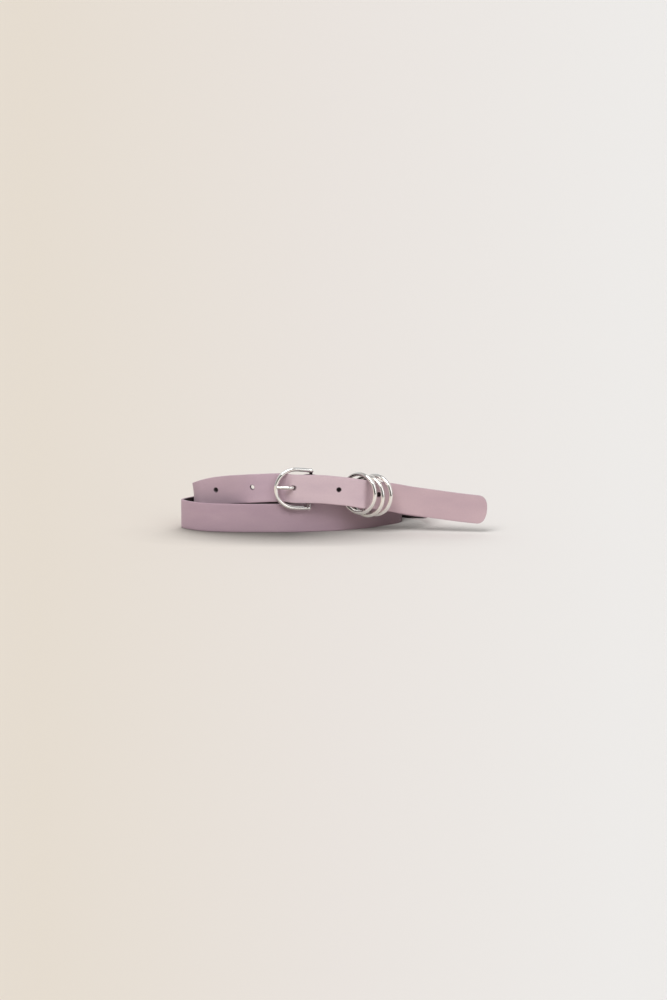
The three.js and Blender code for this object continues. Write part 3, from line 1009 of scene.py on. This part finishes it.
# Camera, floor and light


def viewpoint():
    """Where the camera stands, in metres: back and up from the place that it looks at."""
    back = Vector((0, -math.cos(CAMERA_RISE), math.sin(CAMERA_RISE)))
    return Vector(to_frame(CAMERA_AIM)) + back * CAMERA_DISTANCE


def make_camera():
    data = bpy.data.cameras.new("camera")
    data.sensor_fit = "VERTICAL"
    data.sensor_height = SENSOR
    data.lens = SENSOR * CAMERA_DISTANCE / (FRAME_HEIGHT * MM_PER_PIXEL * MM)
    data.clip_end = CAMERA_FAR
    camera = bpy.data.objects.new("camera", data)
    bpy.context.scene.collection.objects.link(camera)
    camera.location = viewpoint()
    camera.rotation_euler = (math.pi / 2 - CAMERA_RISE, 0, 0)
    bpy.context.scene.camera = camera


def floor_material():
    """Matt paper, warm at the left and cool at the right, with the object's soft contact shadow."""
    material, tree, shader = new_material("floor_paper", Roughness=1.0, Specular_IOR_Level=0.0)
    place = tree.parts(tree.node("NewGeometry").outputs["Position"])
    ahead = tree.maths("MAXIMUM", tree.maths("SUBTRACT", place["Y"], viewpoint().y), FLOOR_FAN_NEAREST)
    fan = tree.ramp(tree.maths("DIVIDE", place["X"], ahead), FLOOR_FAN)
    look = tree.node("CombineXYZ")
    for socket, value in zip(look.inputs, SHADOW_LOOK):
        socket.default_value = value
    near = tree.node("AmbientOcclusion", samples=SHADOW_SAMPLES)
    near.inputs["Distance"].default_value = SHADOW_REACH
    tree.put(near.inputs["Normal"], look.outputs[0])
    shade = tree.ramp(near.outputs["AO"], SHADOW_OPENNESS, SHADOW_SHADE)
    fade = tree.ramp(place["X"], SHADOW_FADE_PLACE, SHADOW_FADE)
    shaded = tree.mix(fade, tree.tones(fan, FLOOR_TONES), shade, blend_type="MULTIPLY")
    tree.put(shader["Base Color"], shaded)
    return material


def make_floor():
    reach = FLOOR_REACH
    mesh = bpy.data.meshes.new("floor")
    corners = [(-reach, -reach, 0), (reach, -reach, 0), (reach, reach, 0), (-reach, reach, 0)]
    mesh.from_pydata(corners, [], [(0, 1, 2, 3)])
    floor = bpy.data.objects.new("floor", mesh)
    bpy.context.scene.collection.objects.link(floor)
    floor.data.materials.append(floor_material())


def make_world():
    world = bpy.data.worlds.new("studio")
    bpy.context.scene.world = world
    tree = Tree(world)
    way = tree.parts(tree.node("TexCoord").outputs["Generated"])

    def lobe(source, start, amount):
        return tree.ramp(source, (start, 1), (0, amount), interpolation_type="SMOOTHSTEP")

    above = lobe(way["Z"], 0, WORLD_UP)
    behind = lobe(way["Y"], 0, WORLD_BACK)
    beside = lobe(tree.maths("ABSOLUTE", way["X"]), WORLD_SIDE_START, WORLD_SIDE)
    total = tree.maths("ADD", tree.maths("ADD", above, behind), beside)
    sky = tree.mix(total, BLACK, WORLD_TINT, clamp_factor=False)
    tree.put(tree.nodes["Background"].inputs["Color"], sky)


def make_suns():
    for name, azimuth, elevation, angle, strength in SUNS:
        data = bpy.data.lights.new(name, "SUN")
        data.energy = strength
        data.angle = math.radians(angle)
        lamp = bpy.data.objects.new(name, data)
        bpy.context.scene.collection.objects.link(lamp)
        a = math.radians(azimuth)
        e = math.radians(elevation)
        towards = Vector((math.sin(a) * math.cos(e), -math.cos(a) * math.cos(e), math.sin(e)))
        lamp.rotation_euler = towards.to_track_quat("Z", "Y").to_euler()


# The pieces in their places


def dress(obj, material, node):
    """Smooths a piece, gives it its material, hangs it on the root body and hides the imported part that it
    stands in for.
    """
    obj.data.polygons.foreach_set("use_smooth", [True] * len(obj.data.polygons))
    obj.data.set_sharp_from_angle(angle=SHARP_ANGLE)
    obj.data.materials.clear()
    obj.data.materials.append(material)
    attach(obj, "root")
    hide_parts(node)


def dress_belt():
    leather = leather_material()
    metal = metal_material()
    dress(finished_strap(), leather, "strap")
    dress(build_frame(), metal, "buckle_frame")
    dress(build_tongue(), metal, "buckle_tongue")
    for number in range(RING_COUNT):
        dress(build_ring(number), metal, f"ring_{number + 1}")


bpy.context.scene.view_settings.view_transform = "Standard"
make_camera()
make_floor()
make_world()
make_suns()
dress_belt()
